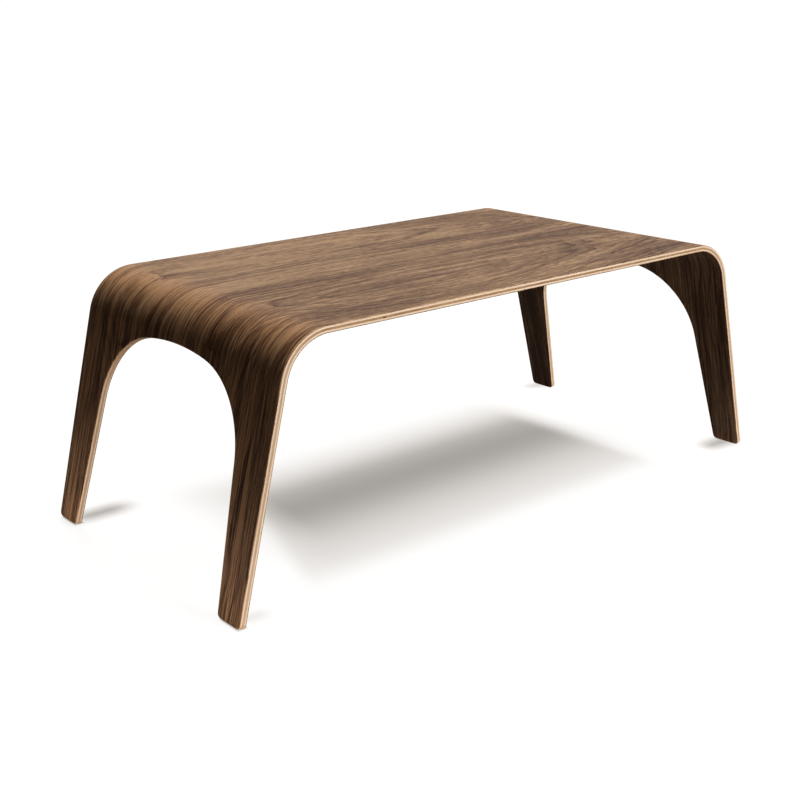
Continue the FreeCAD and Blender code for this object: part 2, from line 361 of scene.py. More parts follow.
class PlyMaker:
    """Builds the meshes of plies over the flat sheet and bends them into the table's shape."""

    WELD = 1e-7
    SHARP_ANGLE = math.radians(32.0)

    def __init__(self, sizes: SheetSizes) -> None:
        """Keeps the sheet's sizes."""
        self.sizes = sizes

    def half(self, ply: Ply, side: float) -> tuple[np.ndarray, np.ndarray, np.ndarray]:
        """One side of a ply: upper face, edge bands and lower face.

        Args:
            ply: the ply to build.
            side: -1 for the front of the centre line, 1 for the rear.

        Returns:
            Flat coordinates (run, across, depth), outline normals, and quads as vertex indices.
        """
        sheet = HalfSheet(self.sizes, ply.columns, ply.foot_lift)
        section = ply.section()
        grids = [sheet.grid(inset) for _, inset in section]
        normals = sheet.normals()
        shape = normals.shape[:2]
        ring = sheet.outline(shape)
        count = shape[0] * shape[1]
        flat_parts = []
        normal_parts = []
        ring_parts = []
        start = 0
        for level, (grid, (depth, _)) in enumerate(zip(grids, section)):
            is_face = level in (0, len(section) - 1)
            keep = np.arange(count) if is_face else ring
            points = grid.reshape(-1, 2)[keep]
            flat = np.stack([points[:, 1], side * points[:, 0], np.full(len(keep), depth)], axis=-1)
            flat_parts.append(flat)
            normal_parts.append(normals.reshape(-1, 2)[keep])
            ring_parts.append(start + (ring if is_face else np.arange(len(ring))))
            start += len(keep)
        index = np.arange(count).reshape(shape)
        corners = [index[:-1, :-1], index[1:, :-1], index[1:, 1:], index[:-1, 1:]]
        face = np.stack(corners, axis=-1).reshape(-1, 4)
        quads = [face, face[:, ::-1] + start - count]
        is_joint = np.abs(normals.reshape(-1, 2)[ring]).sum(axis=1) == 0
        closed = np.ones(len(ring), dtype=bool)
        if ply.strip is Strip.WHOLE:
            closed = ~(is_joint | np.roll(is_joint, -1))
        for upper, lower in zip(ring_parts[:-1], ring_parts[1:]):
            band = np.stack([upper, np.roll(upper, -1), np.roll(lower, -1), lower], axis=-1)
            quads.append(band[closed])
        return np.concatenate(flat_parts), np.concatenate(normal_parts), np.concatenate(quads)

    def build(self, ply: Ply) -> bpy.types.Object:
        """Makes a ply's object, with its flat coordinates and end-grain share kept as attributes.

        Args:
            ply: the ply to build.

        Returns:
            The new object, riding on the table's body in place of its CAD node.
        """
        flats, normals, quads = [], [], []
        start = 0
        for side in ply.strip.value:
            flat, normal, faces = self.half(ply, side)
            flats.append(flat)
            normals.append(normal)
            quads.append(faces + start)
            start += len(flat)
        flat = np.concatenate(flats)
        end_grain = np.abs(np.concatenate(normals) @ np.array(ply.grain.value))
        spots = np.round(flat / self.WELD)
        _, keep, merged = np.unique(spots, axis=0, return_index=True, return_inverse=True)
        faces = merged.reshape(-1)[np.concatenate(quads)]
        mesh = bpy.data.meshes.new(ply.name)
        mesh.from_pydata(self.sizes.place(flat[keep]), [], faces.tolist())
        self._keep_attribute(mesh, "sheet", "FLOAT_VECTOR", "vector", flat[keep])
        self._keep_attribute(mesh, "end_grain", "FLOAT", "value", end_grain[keep])
        self._turn_outwards(mesh)
        piece = bpy.data.objects.new(ply.name, mesh)
        bpy.context.scene.collection.objects.link(piece)
        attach(piece, BODY)
        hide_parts(ply.node)
        log.info("%s: %d faces", ply.name, len(mesh.polygons))
        return piece

    @staticmethod
    def _keep_attribute(
        mesh: bpy.types.Mesh,
        name: str,
        kind: str,
        field: str,
        values: np.ndarray,
    ) -> None:
        """Stores one value per vertex on a mesh."""
        attribute = mesh.attributes.new(name, kind, "POINT")
        attribute.data.foreach_set(field, np.ascontiguousarray(values, dtype=np.float32).ravel())

    def _turn_outwards(self, mesh: bpy.types.Mesh) -> None:
        """Points every face outwards, shades the mesh smooth and keeps its arrises sharp.

        Args:
            mesh: the mesh to finish.
        """
        work = bmesh.new()
        work.from_mesh(mesh)
        bmesh.ops.recalc_face_normals(work, faces=work.faces)
        work.to_mesh(mesh)
        work.free()
        mesh.shade_smooth()
        mesh.set_sharp_from_angle(angle=self.SHARP_ANGLE)


Source = bpy.types.NodeSocket | float | tuple


def colour(red: int, green: int, blue: int) -> tuple[float, float, float, float]:
    """Linear colour of an eight-bit screen colour.

    Args:
        red: red, 0 to 255.
        green: green, 0 to 255.
        blue: blue, 0 to 255.

    Returns:
        Linear red, green, blue and full alpha.
    """
    share = np.array([red, green, blue]) / 255.0
    low = share / 12.92
    high = ((share + 0.055) / 1.055) ** 2.4
    return (*np.where(share <= 0.04045, low, high).tolist(), 1.0)


@dataclass(frozen=True)
class Cells:
    """A noise pattern: cell size along the run, across and in depth, its detail and its roughness."""

    run: float
    across: float
    depth: float = 1.0
    detail: float = 2.0
    roughness: float = 0.5


@dataclass(frozen=True)
class Ramp:
    """A value that changes smoothly between two places and is held beyond them."""

    start: float
    end: float
    before: float = 0.0
    after: float = 1.0


class Board:
    """Lays out the nodes of one shader tree."""

    def __init__(self, tree: bpy.types.NodeTree) -> None:
        """Keeps the tree."""
        self.tree = tree

    def put(
        self,
        kind: str,
        inputs: dict[str | int, Source] | None = None,
        **settings: object,
    ) -> bpy.types.Node:
        """Adds a node.

        Args:
            kind: the node's type.
            inputs: sockets to join or values to set, by input name or number.
            settings: the node's own properties.

        Returns:
            The node.
        """
        node = self.tree.nodes.new(kind)
        for name, value in settings.items():
            setattr(node, name, value)
        for key, source in (inputs or {}).items():
            if isinstance(source, bpy.types.NodeSocket):
                self.tree.links.new(source, node.inputs[key])
            else:
                node.inputs[key].default_value = source
        return node

    def math(self, operation: str, *operands: Source) -> bpy.types.NodeSocket:
        """Result of a Math node on up to three operands."""
        return self.put("ShaderNodeMath", dict(enumerate(operands)), operation=operation).outputs[0]

    def total(self, *parts: Source) -> bpy.types.NodeSocket:
        """Sum of several values."""
        return functools.reduce(lambda result, part: self.math("ADD", result, part), parts)

    def product(self, *parts: Source) -> bpy.types.NodeSocket:
        """Product of several values."""
        return functools.reduce(lambda result, part: self.math("MULTIPLY", result, part), parts)

    def off(self, value: Source, middle: Source) -> bpy.types.NodeSocket:
        """Distance of a value from a middle one."""
        return self.math("ABSOLUTE", self.math("SUBTRACT", value, middle))

    def vector(self, operation: str, *operands: Source) -> bpy.types.Node:
        """A Vector Math node on one or two operands."""
        return self.put("ShaderNodeVectorMath", dict(enumerate(operands)), operation=operation)

    def split(self, vector: Source) -> list[bpy.types.NodeSocket]:
        """The three parts of a vector."""
        return list(self.put("ShaderNodeSeparateXYZ", {0: vector}).outputs)

    def noise(self, cells: Cells, *place: Source) -> bpy.types.NodeSocket:
        """Noise from 0 to 1 over a place on the sheet.

        Args:
            cells: size and detail of the noise.
            place: distances along the run, across and in depth, which the sizes of a cell divide.

        Returns:
            The noise.
        """
        sizes = (cells.run, cells.across, cells.depth)
        parts = [self.math("DIVIDE", value, size) for value, size in zip(place, sizes)]
        vector = self.put("ShaderNodeCombineXYZ", dict(enumerate(parts))).outputs[0]
        inputs = {"Vector": vector, "Scale": 1.0, "Detail": cells.detail, "Roughness": cells.roughness}
        return self.put("ShaderNodeTexNoise", inputs).outputs[0]

    def swing(self, noise: Source, share: Source) -> bpy.types.NodeSocket:
        """Noise moved to lie about zero, times its share."""
        return self.math("MULTIPLY", self.math("SUBTRACT", noise, 0.5), share)

    def span(
        self,
        value: Source,
        low: Source,
        high: Source,
        to_low: Source = 0.0,
        to_high: Source = 1.0,
    ) -> bpy.types.NodeSocket:
        """Value carried smoothly from one range to another and held at its ends.

        Args:
            value: the value.
            low: start of its range.
            high: end of its range.
            to_low: result at the start.
            to_high: result at the end.

        Returns:
            The result.
        """
        inputs = {"Value": value, "From Min": low, "From Max": high, "To Min": to_low, "To Max": to_high}
        return self.put("ShaderNodeMapRange", inputs, interpolation_type="SMOOTHSTEP").outputs[0]

    def ramp(self, value: Source, ramp: Ramp) -> bpy.types.NodeSocket:
        """Value carried along a ramp."""
        return self.span(value, ramp.start, ramp.end, ramp.before, ramp.after)

    def mix(
        self,
        factor: Source,
        first: Source,
        second: Source,
        blend: str = "MIX",
    ) -> bpy.types.NodeSocket:
        """Mix of two colours.

        Args:
            factor: share of the second colour, held to 0 to 1.
            first: first colour.
            second: second colour.
            blend: how the second colour is laid on the first.

        Returns:
            The mixed colour.
        """
        inputs = {0: factor, 6: first, 7: second}
        node = self.put("ShaderNodeMix", inputs, data_type="RGBA", blend_type=blend, clamp_factor=True)
        return node.outputs[2]


def wood_group(name: str, values: tuple[str, ...]) -> bpy.types.NodeTree:
    """An empty shader group for a wood, with its sockets.

    Args:
        name: name of the group.
        values: names of its plain inputs, which follow the sheet coordinates.

    Returns:
        The group, with a colour, a roughness and a height as outputs.
    """
    tree = bpy.data.node_groups.new(name, "ShaderNodeTree")
    sockets = [("Sheet", "INPUT", "NodeSocketVector")]
    sockets += [(value, "INPUT", "NodeSocketFloat") for value in values]
    sockets += [("Colour", "OUTPUT", "NodeSocketColor")]
    sockets += [(value, "OUTPUT", "NodeSocketFloat") for value in ("Roughness", "Height")]
    for socket, way, kind in sockets:
        tree.interface.new_socket(name=socket, in_out=way, socket_type=kind)
    return tree


def blank_material(name: str) -> tuple[bpy.types.Material, Board]:
    """A material without nodes, and the board for its tree.

    Args:
        name: name of the material.

    Returns:
        The material and the board.
    """
    material = bpy.data.materials.new(name)
    material.use_nodes = True
    material.node_tree.nodes.clear()
    return material, Board(material.node_tree)


@dataclass(frozen=True)
class Leaf:
    """Sockets that tell where a point lies on a walnut leaf, in millimetres.

    Run is along the sheet from its middle, and out_run is the same without its sign. Joint is the
    distance from the joint of the two leaves, and straight is that along the slope of the straight
    grain. Side is -1 on the front leaf and 1 on the rear one.
    """

    run: bpy.types.NodeSocket
    out_run: bpy.types.NodeSocket
    joint: bpy.types.NodeSocket
    straight: bpy.types.NodeSocket
    side: bpy.types.NodeSocket
    seed: bpy.types.NodeSocket


@dataclass(frozen=True)
class WalnutFigure:
    """Figure of a book-matched walnut leaf, in millimetres of the flat sheet.

    Ovals lie about a heart line in each leaf. Towards the joint the grain runs straight, with one
    dark band. All patterns add up to a tone: at 0 the wood has its middle colour, above 0 it is paler
    and below 0 darker. A share is how much a pattern adds. Where it is a ramp, it changes along the run
    from the top to the leg. Part of the tone and two tints are painted light and shade: paler and
    warmer bends, paler near the feet, a rear leaf that is paler on the top and darker at its knees and
    down its legs, and a darker right half.
    """

    pale: tuple = colour(184, 146, 110)
    middle: tuple = colour(150, 115, 84)
    dark: tuple = colour(70, 37, 19)
    pore: tuple = colour(58, 39, 26)
    # Painted light: a tint that makes the wood paler near the feet
    foot_painted_light_tint: tuple = (1.24, 1.37, 1.60, 1.0)
    # Painted light: a tint that makes the bends paler and warmer
    bend_painted_light_tint: tuple = (1.40, 1.22, 1.05, 1.0)
    pale_tone: float = 0.42
    dark_tone: float = -1.5

    match_slip: float = 9.0
    leaf_seed: float = 1.7
    slope_start: float = 150.0
    straight_slope: float = 0.018

    heart_run: float = -66.0
    heart_across: float = 90.0
    heart_depth: float = 6.0
    heart_bow: Ramp = Ramp(30.0, 215.0, 0.0, 18.0)
    oval_length: float = 300.0
    oval_blend: float = 120.0
    length_share: float = 0.215
    slow_wander: Cells = Cells(120.0, 30.0)
    slow_reach: float = 20.0
    quick_wander: Cells = Cells(40.0, 9.0, detail=3.0)
    quick_reach: float = 2.4

    oval_pitch: float = 11.0
    straight_from: float = 44.0
    straight_pitch: float = 9.0
    ring_phase: float = 0.82
    ring_rise: float = 3.6
    ring_fall: Ramp = Ramp(0.94, 1.0, 1.0, 0.0)
    year_step: float = 0.73
    year_noise: Cells = Cells(1.0, 1.0, detail=1.0)
    year_strength: Ramp = Ramp(0.34, 0.62, 0.25, 1.0)
    ring_patch: Cells = Cells(70.0, 20.0)
    patch_strength: Ramp = Ramp(0.34, 0.66, 0.30, 1.0)
    ring_share: float = -1.5

    dark_line: float = 17.5
    line_width: Ramp = Ramp(0.4, 2.0, 1.6, 0.0)
    line_break: Cells = Cells(60.0, 30.0)
    line_strength: Ramp = Ramp(0.3, 0.6, 0.3, 1.0)
    band_start: Ramp = Ramp(15.5, 18.5, -0.55, 1.0)
    band_end: Ramp = Ramp(34.0, 50.0, 1.0, 0.0)
    band_share: float = -0.22

    ring_line: Cells = Cells(300.0, 9.0, detail=3.0, roughness=0.7)
    ring_line_share: float = 2.4
    cloud: Cells = Cells(110.0, 45.0, detail=1.0)
    cloud_share: float = 0.6
    fibre: Cells = Cells(9.0, 1.3, roughness=0.6)
    fibre_share: Ramp = Ramp(205.0, 245.0, 3.2, 1.5)
    hair: Cells = Cells(75.0, 1.25, roughness=0.6)
    hair_share: Ramp = Ramp(205.0, 245.0, 1.2, 4.8)
    streak: Cells = Cells(130.0, 5.0, detail=3.0, roughness=0.75)
    streak_share: Ramp = Ramp(240.0, 315.0, 2.6, 5.0)
    stripe: Cells = Cells(260.0, 11.0, detail=1.0)
    stripe_share: Ramp = Ramp(238.0, 315.0, 0.3, 3.2)
    vein: Cells = Cells(150.0, 3.6, detail=1.0)
    vein_width: Ramp = Ramp(0.0, 0.045, 1.0, 0.0)
    vein_share: Ramp = Ramp(195.0, 260.0, -0.16, -0.80)
    foot_strength: Ramp = Ramp(330.0, 420.0, 1.0, 1.45)
    right_bend: tuple[float, float] = (215.0, 280.0)

    # Painted light and shade: tones and reaches for the leaves, the right half, the bends, the knees, the
    # rear shin and the feet
    leaf_painted_light: Ramp = Ramp(-220.0, 60.0, 0.22, 0.04)
    right_painted_shade: Ramp = Ramp(0.0, 140.0, 0.0, -0.12)
    bend_run: float = 239.0
    bend_painted_light_tone: Ramp = Ramp(0.0, 26.0, 0.40, 0.0)
    bend_painted_light_reach: Ramp = Ramp(0.0, 36.0, 0.65, 0.0)
    knee_run: float = 288.0
    knee_reach: Ramp = Ramp(0.0, 55.0, 1.0, 0.0)
    knee_painted_shade: float = -0.25
    knee_leaf_painted_shade: float = -0.3
    leg_leaf_painted_shade: Ramp = Ramp(305.0, 365.0, 0.0, -0.34)
    rear_shin_run: float = 338.0
    rear_shin_painted_shade: Ramp = Ramp(0.0, 50.0, -0.30, 0.0)
    foot_painted_light_reach: tuple[float, float] = (340.0, 440.0)
    foot_painted_light_tone: float = 0.10

    pore_cells: Cells = Cells(6.0, 0.30, detail=1.0)
    pore_level: float = 0.675
    pore_level_in_ring: float = -0.10
    pore_edge: float = 0.06
    pore_colouring: float = 0.62
    satin: float = 0.38
    fibre_roughness: float = 0.10
    pore_roughness: float = 0.12
    fibre_height: float = 0.35
    pore_height: float = -0.65

    def group(self) -> bpy.types.NodeTree:
        """Builds the shader group: colour, roughness and height over the sheet.

        Returns:
            The node group.
        """
        tree = wood_group("walnut_figure", ("Seed", "Tone", "Streaks", "Right End"))
        board = Board(tree)
        given = board.put("NodeGroupInput").outputs
        leaf = self._leaf(board, given)
        distance = self._distance(board, leaf)
        ring_dark = self._late_wood(board, leaf, distance)
        fibre = board.noise(self.fibre, leaf.run, leaf.straight, leaf.seed)
        right = board.span(leaf.run, *self.right_bend, 1.0, given["Right End"])
        # painted light near the feet, weaker at the right end and on the back
        foot_light_share = board.product(board.span(leaf.out_run, *self.foot_painted_light_reach, 0.0, right), given["Streaks"])
        off_bend = board.off(leaf.out_run, self.bend_run)
        tone = board.total(
            board.swing(board.noise(self.ring_line, leaf.run, distance, leaf.seed), self.ring_line_share),
            board.swing(fibre, board.ramp(leaf.out_run, self.fibre_share)),
            self._stripes(board, leaf, given["Streaks"], right),
            board.product(ring_dark, self.ring_share),
            board.product(self._dark_band(board, leaf), self.band_share),
            self._painted_light_and_shade(board, leaf),
            # painted light: paler at the bends
            board.ramp(off_bend, self.bend_painted_light_tone),
            board.product(foot_light_share, self.foot_painted_light_tone),
            given["Tone"],
        )
        ground = board.mix(board.math("DIVIDE", tone, self.pale_tone), self.middle, self.pale)
        ground = board.mix(board.math("DIVIDE", tone, self.dark_tone), ground, self.dark)
        # painted light: a warm, pale tint at the bends
        bend_light_share = board.product(board.ramp(off_bend, self.bend_painted_light_reach), right)
        ground = board.mix(bend_light_share, ground, self.bend_painted_light_tint, "MULTIPLY")
        # painted light: a paler tint near the feet
        ground = board.mix(foot_light_share, ground, self.foot_painted_light_tint, "MULTIPLY")

        pore_noise = board.noise(self.pore_cells, leaf.run, leaf.joint, leaf.seed)
        pore_start = board.math("MULTIPLY_ADD", ring_dark, self.pore_level_in_ring, self.pore_level)
        pores = board.span(pore_noise, pore_start, board.total(pore_start, self.pore_edge))
        wood = board.mix(board.product(pores, self.pore_colouring), ground, self.pore)
        rough = board.total(
            self.satin,
            board.product(fibre, self.fibre_roughness),
            board.product(pores, self.pore_roughness),
        )
        height = board.total(
            board.product(fibre, self.fibre_height),
            board.product(pores, self.pore_height),
        )
        board.put("NodeGroupOutput", {"Colour": wood, "Roughness": rough, "Height": height})
        return tree

    def _leaf(self, board: Board, given: bpy.types.NodeOutputs) -> Leaf:
        """Works out where a point lies on its leaf.

        Args:
            board: board of the group.
            given: the group's inputs.

        Returns:
            Sockets of the place.
        """
        millimetres = board.vector("MULTIPLY", given["Sheet"], MILLIMETRES).outputs[0]
        run, across, _ = board.split(millimetres)
        side = board.math("SIGN", across)
        joint = board.math("MULTIPLY_ADD", side, -self.match_slip, board.math("ABSOLUTE", across))
        along = board.total(run, self.slope_start)
        return Leaf(
            run=run,
            out_run=board.math("ABSOLUTE", run),
            joint=joint,
            straight=board.math("MULTIPLY_ADD", along, self.straight_slope, joint),
            side=side,
            seed=board.total(given["Seed"], board.product(side, self.leaf_seed)),
        )

    def _distance(self, board: Board, leaf: Leaf) -> bpy.types.NodeSocket:
        """Distance from the heart over the leaf, with noise added so that the rings wander.

        It is the length of (across from the heart line, share of the run, depth), and the heart line
        bows towards the joint at both ends.

        Args:
            board: board of the group.
            leaf: place on the leaf.

        Returns:
            Distance, rising outwards.
        """
        slow = board.noise(self.slow_wander, leaf.run, leaf.joint, leaf.seed)
        quick = board.noise(self.quick_wander, leaf.run, leaf.joint, leaf.seed)
        wander = board.total(board.swing(slow, self.slow_reach), board.swing(quick, self.quick_reach))
        along = board.off(leaf.run, self.heart_run)
        off_heart = board.total(leaf.joint, board.ramp(along, self.heart_bow), -self.heart_across)
        held = board.math("SMOOTH_MIN", along, self.oval_length, self.oval_blend)
        off_run = board.product(held, self.length_share)
        square = board.total(
            board.product(off_heart, off_heart),
            board.product(off_run, off_run),
            self.heart_depth**2,
        )
        return board.total(board.math("SQRT", square), wander)

    def _late_wood(self, board: Board, leaf: Leaf, distance: Source) -> bpy.types.NodeSocket:
        """Darkness of the rings: each darkens to its end and then starts pale, some more than others.

        Rings are wide in the ovals and close in the straight grain.

        Args:
            board: board of the group.
            leaf: place on the leaf.
            distance: distance from the heart.

        Returns:
            Darkness from 0 to 1.
        """
        beyond = board.math("MAXIMUM", board.math("SUBTRACT", distance, self.straight_from), 0.0)
        rings = board.total(
            board.math("DIVIDE", distance, self.oval_pitch),
            board.math("DIVIDE", beyond, self.straight_pitch),
            self.ring_phase,
        )
        in_year = board.math("FRACT", rings)
        year = board.product(board.math("FLOOR", rings), self.year_step)
        patches = board.noise(self.ring_patch, leaf.run, leaf.joint, leaf.seed)
        return board.product(
            board.math("POWER", in_year, self.ring_rise),
            board.ramp(in_year, self.ring_fall),
            board.ramp(board.noise(self.year_noise, year, leaf.seed), self.year_strength),
            board.ramp(patches, self.patch_strength),
        )

    def _dark_band(self, board: Board, leaf: Leaf) -> bpy.types.NodeSocket:
        """Dark band in the straight grain near the joint, with a dark line along its inner side.

        Args:
            board: board of the group.
            leaf: place on the leaf.

        Returns:
            Darkness, 0 outside the band, below zero in the pale strip beside it.
        """
        band = board.product(
            board.ramp(leaf.straight, self.band_start),
            board.ramp(leaf.straight, self.band_end),
        )
        line = board.ramp(board.off(leaf.straight, self.dark_line), self.line_width)
        breaks = board.noise(self.line_break, leaf.run, leaf.straight, leaf.seed)
        return board.math("MULTIPLY_ADD", line, board.ramp(breaks, self.line_strength), band)

    def _stripes(self, board: Board, leaf: Leaf, streaks: Source, right: Source) -> bpy.types.NodeSocket:
        """Streaks, stripes, hairs and veins along the grain, and the slow clouds over them.

        Args:
            board: board of the group.
            leaf: place on the leaf.
            streaks: strength of the streaks and veins.
            right: strength of the figure at the right end.

        Returns:
            Their tone.
        """
        place = (leaf.run, leaf.straight, leaf.seed)
        strength = board.product(board.ramp(leaf.out_run, self.foot_strength), streaks, right)
        streak_share = board.product(board.ramp(leaf.out_run, self.streak_share), strength)
        stripe_share = board.product(board.ramp(leaf.out_run, self.stripe_share), right)
        hair_share = board.product(board.ramp(leaf.out_run, self.hair_share), right)
        vein_share = board.product(board.ramp(leaf.out_run, self.vein_share), strength)
        veins = board.ramp(board.off(board.noise(self.vein, *place), 0.5), self.vein_width)
        clouds = board.noise(self.cloud, leaf.run, leaf.joint, leaf.seed)
        return board.total(
            board.swing(board.noise(self.streak, *place), streak_share),
            board.swing(board.noise(self.stripe, *place), stripe_share),
            board.swing(board.noise(self.hair, *place), hair_share),
            board.swing(clouds, self.cloud_share),
            board.product(veins, vein_share),
        )

    def _painted_light_and_shade(self, board: Board, leaf: Leaf) -> bpy.types.NodeSocket:
        """Painted light and shade: slow change of the tone along the run and between the two leaves.

        Args:
            board: board of the group.
            leaf: place on the leaf.

        Returns:
            Its tone.
        """
        # painted shade: darker at the knees, mostly on the rear leaf
        knee_painted_shade = board.math("MULTIPLY_ADD", leaf.side, self.knee_leaf_painted_shade, self.knee_painted_shade)
        at_knee = board.ramp(board.off(leaf.out_run, self.knee_run), self.knee_reach)
        is_rear = board.math("MAXIMUM", leaf.side, 0.0)
        off_shin = board.off(leaf.out_run, self.rear_shin_run)
        return board.total(
            # painted light and shade: the rear leaf paler on the top and darker down the legs, the front
            # leaf the other way
            board.product(leaf.side, board.ramp(leaf.run, self.leaf_painted_light)),
            board.product(leaf.side, board.ramp(leaf.out_run, self.leg_leaf_painted_shade)),
            # painted shade: darker over the right half
            board.ramp(leaf.run, self.right_painted_shade),
            board.product(knee_painted_shade, at_knee),
            # painted shade: darker on the rear leaf's shins
            board.product(is_rear, board.ramp(off_shin, self.rear_shin_painted_shade)),
        )


@dataclass(frozen=True)
class BirchGrain:
    """Bare birch plies on the cut edge, in millimetres: long grain, end grain and glue at the faces.

    A small gap in the middle ply shows as a dark mark on the front edge, painted shade in the gap.
    """

    pale: tuple = colour(244, 219, 190)
    shade: tuple = colour(224, 192, 160)
    end: tuple = colour(188, 150, 112)
    end_dark: tuple = colour(142, 104, 73)
    glue: tuple = colour(142, 102, 74)
    gap: tuple = colour(70, 44, 26)

    streak: Cells = Cells(30.0, 9.0, 0.35, detail=3.0, roughness=0.6)
    patch: Cells = Cells(85.0, 40.0, 3.0)
    streak_share: float = 0.7
    patch_share: float = 0.3
    pale_from: Ramp = Ramp(0.30, 0.62)
    speck: Cells = Cells(0.5, 0.5, 0.32, roughness=0.65)
    broad: Cells = Cells(14.0, 14.0, 1.6, detail=3.0, roughness=0.6)
    speck_share: float = 0.55
    broad_share: float = 0.45
    end_from: Ramp = Ramp(0.36, 0.60)
    cut: Ramp = Ramp(0.15, 0.85)
    leg_paling: Ramp = Ramp(205.0, 285.0, 0.0, 0.35)
    glue_film: Ramp = Ramp(0.16, 0.0, 0.0, 0.85)

    # Painted shade of a small gap in the middle ply on the front edge
    gap_place: tuple[float, float, float] = (-165.5, -147.5, 3.2)
    gap_shape: tuple[float, float, float] = (0.42, 0.3, 1.5)
    gap_edge: Ramp = Ramp(0.6, 1.0, 0.9, 0.0)

    bare: float = 0.5
    speck_roughness: float = 0.12
    streak_height: float = 0.5
    speck_height: float = 0.3

    def group(self) -> bpy.types.NodeTree:
        """Builds the shader group: long and end grain mixed by how far the edge cuts across the grain.

        Returns:
            The node group.
        """
        tree = wood_group("birch_grain", ("End Grain", "Middle Depth", "Half Depth"))
        board = Board(tree)
        given = board.put("NodeGroupInput").outputs
        millimetres = board.vector("MULTIPLY", given["Sheet"], MILLIMETRES).outputs[0]
        place = board.split(millimetres)
        run, _, depth = place

        streak = board.noise(self.streak, *place)
        patch = board.noise(self.patch, *place)
        tone = board.total(board.product(streak, self.streak_share), board.product(patch, self.patch_share))
        long_grain = board.mix(board.ramp(tone, self.pale_from), self.shade, self.pale)
        speck = board.noise(self.speck, *place)
        broad = board.noise(self.broad, *place)
        tone = board.total(board.product(speck, self.speck_share), board.product(broad, self.broad_share))
        end_grain = board.mix(board.ramp(tone, self.end_from), self.end_dark, self.end)
        on_leg = board.ramp(board.math("ABSOLUTE", run), self.leg_paling)
        end_grain = board.mix(on_leg, end_grain, long_grain)
        wood = board.mix(board.ramp(given["End Grain"], self.cut), long_grain, end_grain)

        off_middle = board.off(depth, given["Middle Depth"])
        to_glue = board.math("SUBTRACT", given["Half Depth"], off_middle)
        wood = board.mix(board.ramp(to_glue, self.glue_film), wood, self.glue)
        from_gap = board.vector("SUBTRACT", millimetres, self.gap_place).outputs[0]
        scaled = board.vector("MULTIPLY", from_gap, self.gap_shape).outputs[0]
        reach = board.vector("LENGTH", scaled).outputs["Value"]
        # painted shade in the gap
        wood = board.mix(board.ramp(reach, self.gap_edge), wood, self.gap)

        rough = board.total(self.bare, board.product(speck, self.speck_roughness))
        height = board.total(
            board.product(streak, self.streak_height),
            board.product(speck, self.speck_height),
        )
        board.put("NodeGroupOutput", {"Colour": wood, "Roughness": rough, "Height": height})
        return tree


class Finishes:
    """Materials of the table, each a satin clear-finished wood."""

    BUMP_DEPTH = 0.00006
    BUMP_STRENGTH = 0.5
    LACQUER_IOR = 1.5

    def __init__(self) -> None:
        """Builds the shared shader groups."""
        self.walnut = WalnutFigure().group()
        self.birch = BirchGrain().group()

    def _wood(
        self,
        name: str,
        group: bpy.types.NodeTree,
        values: dict[str, float],
    ) -> bpy.types.Material:
        """A satin wood whose colour, roughness and height come from a shader group.

        Args:
            name: name of the material.
            group: the shader group.
            values: values of the group's plain inputs.

        Returns:
            The material.
        """
        material, board = blank_material(name)
        sheet = board.put("ShaderNodeAttribute", attribute_name="sheet")
        grain = board.put("ShaderNodeGroup", node_tree=group)
        material.node_tree.links.new(sheet.outputs["Vector"], grain.inputs["Sheet"])
        if "End Grain" in grain.inputs:
            cut = board.put("ShaderNodeAttribute", attribute_name="end_grain")
            material.node_tree.links.new(cut.outputs["Fac"], grain.inputs["End Grain"])
        for key, value in values.items():
            grain.inputs[key].default_value = value
        relief = {
            "Height": grain.outputs["Height"],
            "Strength": self.BUMP_STRENGTH,
            "Distance": self.BUMP_DEPTH,
        }
        bump = board.put("ShaderNodeBump", relief)
        surface = {
            "Base Color": grain.outputs["Colour"],
            "Roughness": grain.outputs["Roughness"],
            "Normal": bump.outputs[0],
            "IOR": self.LACQUER_IOR,
        }
        shader = board.put("ShaderNodeBsdfPrincipled", surface)
        board.put("ShaderNodeOutputMaterial", {"Surface": shader.outputs[0]})
        return material

    def walnut_face(self) -> bpy.types.Material:
        """Walnut of the upper face, calmer at the right end."""
        values = {"Seed": 0.0, "Tone": 0.0, "Streaks": 1.0, "Right End": 0.5}
        return self._wood("walnut_face_satin", self.walnut, values)

    def walnut_back(self) -> bpy.types.Material:
        """Walnut of the back, with weaker streaks, and darker as painted shade on the underside and inner
        leg faces.
        """
        # the Tone of -0.50 is painted shade
        values = {"Seed": 7.3, "Tone": -0.50, "Streaks": 0.45, "Right End": 1.0}
        return self._wood("walnut_back_satin", self.walnut, values)

    def birch_ply(self, ply: Ply) -> bpy.types.Material:
        """Birch of one core ply, with its depth range in millimetres.

        Args:
            ply: the core ply.

        Returns:
            The material.
        """
        half = PER_METRE / 2
        values = {
            "Middle Depth": half * (ply.top + ply.bottom),
            "Half Depth": half * (ply.bottom - ply.top),
        }
        return self._wood(f"{ply.node}_bare", self.birch, values)


